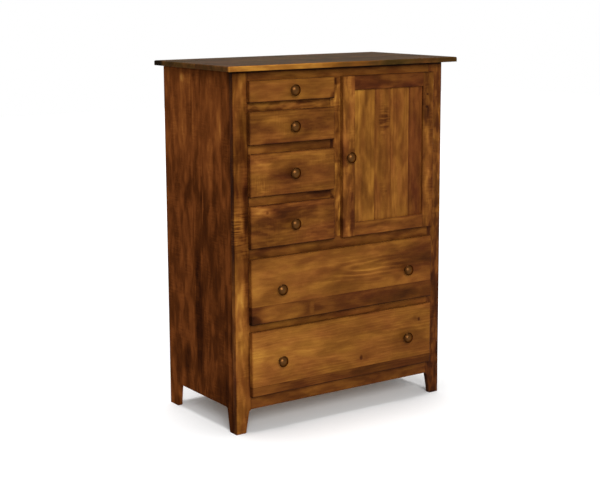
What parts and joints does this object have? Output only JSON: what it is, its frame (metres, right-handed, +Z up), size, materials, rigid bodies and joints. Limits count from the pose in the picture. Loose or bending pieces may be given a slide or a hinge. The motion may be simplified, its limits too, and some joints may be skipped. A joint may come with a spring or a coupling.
{
  "type": "gentlemans chest",
  "caption": "Tall wooden chest on short tapered legs: small drawers stacked beside a planked cupboard door, wide drawers below, round dark knobs, flat overhanging top.",
  "frame": {"origin": "on the floor under the middle of the whole piece, knobs included", "axes": "+X to the right along the front, +Y to the back, +Z up"},
  "size_m": [1.052, 0.556, 1.372],
  "materials": {
    "case_wood": "dark stained solid maple, satin lacquer",
    "front_wood": "golden brown stained rustic maple, satin lacquer",
    "pale_wood": "clear finished maple",
    "plywood": "stained plywood",
    "zinc_steel": "bright zinc plated",
    "hinge_steel": "dark bronze plated",
    "knob_bronze": "oil rubbed bronze, satin",
    "catch_plastic": "moulded brown"
  },
  "bodies": {
    "case": {"top_board": "case_wood", "left_side": "case_wood", "right_side": "case_wood", "back_panel": "plywood", "left_stile": "front_wood", "right_stile": "front_wood", "mid_stile": "front_wood", "top_rail": "front_wood", "drawer_rail_upper": "front_wood", "drawer_rail_middle": "front_wood", "drawer_rail_lower": "front_wood", "waist_rail": "front_wood", "lower_rail": "front_wood", "bottom_rail": "front_wood", "waist_board": "case_wood", "partition": "case_wood", "top_stretchers": "pale_wood", "rear_rail": "pale_wood", "left_posts": "pale_wood", "right_posts": "pale_wood", "top_screws": "zinc_steel", "lower_shelf": "case_wood", "upper_shelf": "case_wood", "shelf_pins": "zinc_steel", "slide_channels": "zinc_steel", "case_hinge_leaves": "hinge_steel", "hinge_pins": "hinge_steel", "door_catch": "catch_plastic"},
    "door": {"door_knob_stile": "front_wood", "door_hinge_stile": "front_wood", "door_top_rail": "front_wood", "door_bottom_rail": "front_wood", "door_planks": "front_wood", "door_knob": "knob_bronze", "door_hinge_leaves": "hinge_steel", "catch_strike": "zinc_steel"},
    "drawer_1": {"drawer_1_front": "front_wood", "drawer_1_box": "pale_wood", "drawer_1_runners": "zinc_steel", "drawer_1_knob": "knob_bronze"},
    "drawer_2": {"drawer_2_front": "front_wood", "drawer_2_box": "pale_wood", "drawer_2_runners": "zinc_steel", "drawer_2_knob": "knob_bronze"},
    "drawer_3": {"drawer_3_front": "front_wood", "drawer_3_box": "pale_wood", "drawer_3_runners": "zinc_steel", "drawer_3_knob": "knob_bronze"},
    "drawer_4": {"drawer_4_front": "front_wood", "drawer_4_box": "pale_wood", "drawer_4_runners": "zinc_steel", "drawer_4_knob": "knob_bronze"},
    "drawer_5": {"drawer_5_front": "front_wood", "drawer_5_box": "pale_wood", "drawer_5_runners": "zinc_steel", "drawer_5_knobs": "knob_bronze"},
    "drawer_6": {"drawer_6_front": "front_wood", "drawer_6_box": "pale_wood", "drawer_6_runners": "zinc_steel", "drawer_6_knobs": "knob_bronze"}
  },
  "joints": [
    {"name": "door_hinge", "type": "hinge", "parent": "case", "child": "door", "pos_m": [0.434, -0.2293, 0.701], "axis": [0, 0, 1], "range_deg": [0, 105]},
    {"name": "drawer_1_slide", "type": "slide", "parent": "case", "child": "drawer_1", "axis": [0, -1, 0], "range_m": [0, 0.33]},
    {"name": "drawer_2_slide", "type": "slide", "parent": "case", "child": "drawer_2", "axis": [0, -1, 0], "range_m": [0, 0.33]},
    {"name": "drawer_3_slide", "type": "slide", "parent": "case", "child": "drawer_3", "axis": [0, -1, 0], "range_m": [0, 0.33]},
    {"name": "drawer_4_slide", "type": "slide", "parent": "case", "child": "drawer_4", "axis": [0, -1, 0], "range_m": [0, 0.33]},
    {"name": "drawer_5_slide", "type": "slide", "parent": "case", "child": "drawer_5", "axis": [0, -1, 0], "range_m": [0, 0.33]},
    {"name": "drawer_6_slide", "type": "slide", "parent": "case", "child": "drawer_6", "axis": [0, -1, 0], "range_m": [0, 0.33]}
  ]
}
